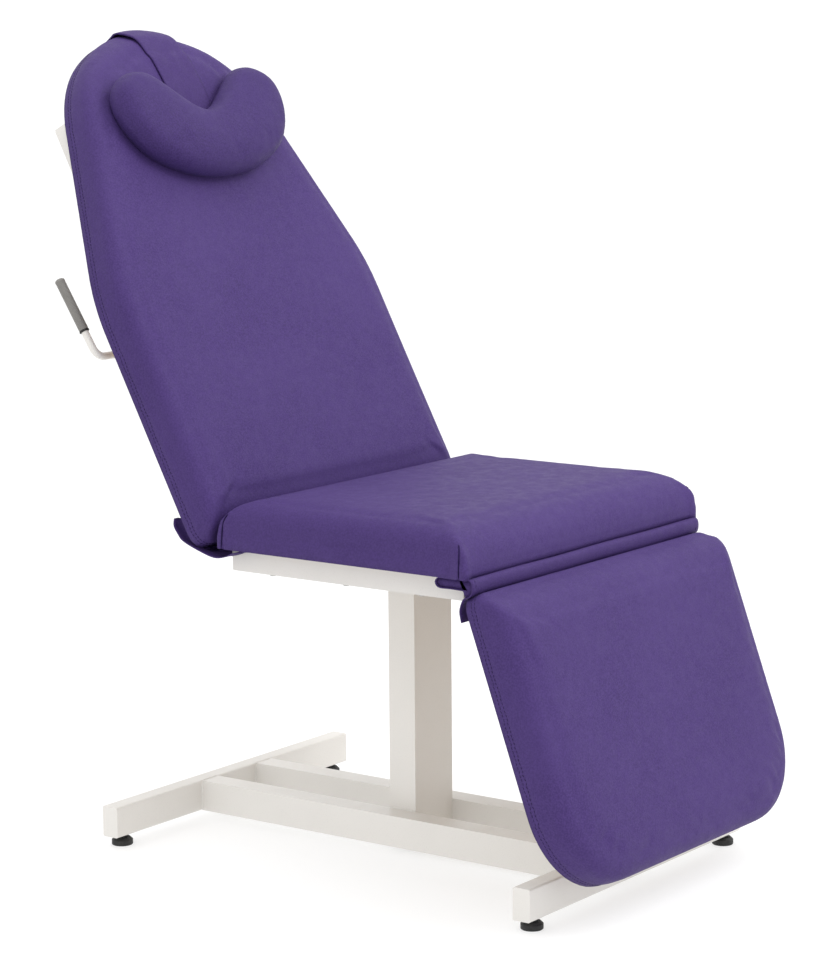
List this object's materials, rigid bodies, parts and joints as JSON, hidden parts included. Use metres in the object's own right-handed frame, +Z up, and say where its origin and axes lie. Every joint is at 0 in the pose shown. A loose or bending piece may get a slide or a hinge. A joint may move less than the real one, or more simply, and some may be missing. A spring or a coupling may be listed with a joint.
{
  "type": "treatment chair",
  "caption": "Fixed-height treatment chair with padded seat, reclining tapered backrest, hinged legrest and crescent neck cushion on an H-shaped steel base.",
  "frame": {"origin": "on the floor, under the middle of the chair's overall length and width", "axes": "+X to the sitter's left, +Y towards the head end, +Z up; the sitter faces -Y"},
  "size_m": [0.642, 1.1192, 1.2955],
  "materials": {
    "upholstery": "matte fine-grained vinyl-coated cloth",
    "neck_upholstery": "matte fine-grained vinyl-coated cloth",
    "cover_fabric": "thin unpadded vinyl cover cloth",
    "white_paint": "satin powder coat",
    "black_paint": "satin",
    "bright_steel": "bright zinc",
    "nylon": "matte",
    "black_plastic": "matte",
    "grip_rubber": "ribbed matte",
    "board_wood": "unfinished birch plywood"
  },
  "bodies": {
    "base": {"backrest_hinge_bushes": "nylon", "backrest_hinge_lug_left": "white_paint", "backrest_hinge_lug_right": "white_paint", "base_bar_end_plates": "white_paint", "base_bar_front": "white_paint", "base_bar_rear": "white_paint", "base_rail_left": "white_paint", "base_rail_right": "white_paint", "bridge_fabric_front": "cover_fabric", "bridge_fabric_rear": "cover_fabric", "column": "white_paint", "column_top_plate": "white_paint", "foot_threaded_inserts": "bright_steel", "gas_spring_anchor": "white_paint", "legrest_hinge_lug_left": "white_paint", "legrest_hinge_lug_right": "white_paint", "legrest_hinge_pin_left": "bright_steel", "legrest_hinge_pin_right": "bright_steel", "seat_board": "board_wood", "seat_cross_tube_front": "white_paint", "seat_cross_tube_middle_front": "white_paint", "seat_cross_tube_middle_rear": "white_paint", "seat_cross_tube_rear": "white_paint", "seat_cushion": "upholstery", "seat_side_tube_left": "white_paint", "seat_side_tube_right": "white_paint", "seat_tube_caps": "white_paint"},
    "backrest": {"backrest_pivot_shaft": "bright_steel", "backrest_tube_left": "white_paint", "backrest_tube_right": "white_paint", "backrest_tube_caps": "white_paint", "backrest_cross_tube_lower": "white_paint", "backrest_cross_tube_upper": "white_paint", "backrest_board": "board_wood", "backrest_cushion": "upholstery", "backrest_crank": "white_paint", "crank_pin": "bright_steel", "lever_brackets": "white_paint", "lever_bushes": "nylon", "neck_strap": "cover_fabric"},
    "gas_spring_rod_side": {"gas_spring_rod": "bright_steel", "gas_spring_head": "bright_steel"},
    "gas_spring_cylinder_side": {"gas_spring_cylinder": "black_paint", "gas_spring_anchor_pin": "bright_steel"},
    "legrest": {"legrest_tube_left": "white_paint", "legrest_tube_right": "white_paint", "legrest_hinge_plate_left": "white_paint", "legrest_hinge_plate_right": "white_paint", "legrest_cross_tube": "white_paint", "legrest_board": "board_wood", "legrest_cushion": "upholstery"},
    "lever": {"release_lever": "white_paint", "release_lever_grip": "grip_rubber", "lever_collars": "bright_steel"},
    "neck_pad": {"neck_cushion": "neck_upholstery"},
    "neck_weight": {"neck_counterweight": "cover_fabric"},
    "foot_front_left": {"levelling_foot_front_left": "black_plastic"},
    "foot_front_right": {"levelling_foot_front_right": "black_plastic"},
    "foot_rear_left": {"levelling_foot_rear_left": "black_plastic"},
    "foot_rear_right": {"levelling_foot_rear_right": "black_plastic"}
  },
  "joints": [
    {"name": "backrest_recline", "type": "hinge", "parent": "base", "child": "backrest", "pos_m": [0, 0.164, 0.505], "axis": [-1, 0, 0], "range_deg": [0, 62], "deforming": ["bridge_fabric_rear"]},
    {"name": "gas_spring_rod_swing", "type": "hinge", "parent": "backrest", "child": "gas_spring_rod_side", "pos_m": [0.078, 0.204, 0.43572], "axis": [1, 0, 0], "range_deg": [0, 62]},
    {"name": "gas_spring_stroke", "type": "slide", "parent": "gas_spring_rod_side", "child": "gas_spring_cylinder_side", "axis": [0, 1, 0], "range_m": [0, 0.085]},
    {"name": "legrest_lift", "type": "hinge", "parent": "base", "child": "legrest", "pos_m": [0, -0.335, 0.504], "axis": [-1, 0, 0], "range_deg": [0, 70], "deforming": ["bridge_fabric_front"]},
    {"name": "release_lever_pull", "type": "hinge", "parent": "backrest", "child": "lever", "pos_m": [-0.197, 0.3456, 0.789], "axis": [-1, 0, 0], "range_deg": [0, 15], "stiffness_Nm_per_rad": 6, "springref_deg": -11.46},
    {"name": "neck_cushion_slide", "type": "slide", "parent": "backrest", "child": "neck_pad", "axis": [0, -0.4695, -0.8829], "range_m": [-0.06, 0.1], "deforming": ["neck_strap"]},
    {"name": "neck_counterweight_slide", "type": "slide", "parent": "backrest", "child": "neck_weight", "axis": [0, -0.4695, -0.8829], "range_m": [-0.1, 0.06]},
    {"name": "levelling_front_left", "type": "slide", "parent": "base", "child": "foot_front_left", "axis": [0, 0, -1], "range_m": [0, 0.008]},
    {"name": "levelling_front_right", "type": "slide", "parent": "base", "child": "foot_front_right", "axis": [0, 0, -1], "range_m": [0, 0.008]},
    {"name": "levelling_rear_left", "type": "slide", "parent": "base", "child": "foot_rear_left", "axis": [0, 0, -1], "range_m": [0, 0.008]},
    {"name": "levelling_rear_right", "type": "slide", "parent": "base", "child": "foot_rear_right", "axis": [0, 0, -1], "range_m": [0, 0.008]}
  ],
  "couplings": [
    {"joint": "gas_spring_rod_swing", "follows": "backrest_recline", "ratio": 1},
    {"joint": "gas_spring_stroke", "follows": "backrest_recline", "m_per_rad": 0.07615},
    {"joint": "neck_counterweight_slide", "follows": "neck_cushion_slide", "ratio": -1}
  ]
}
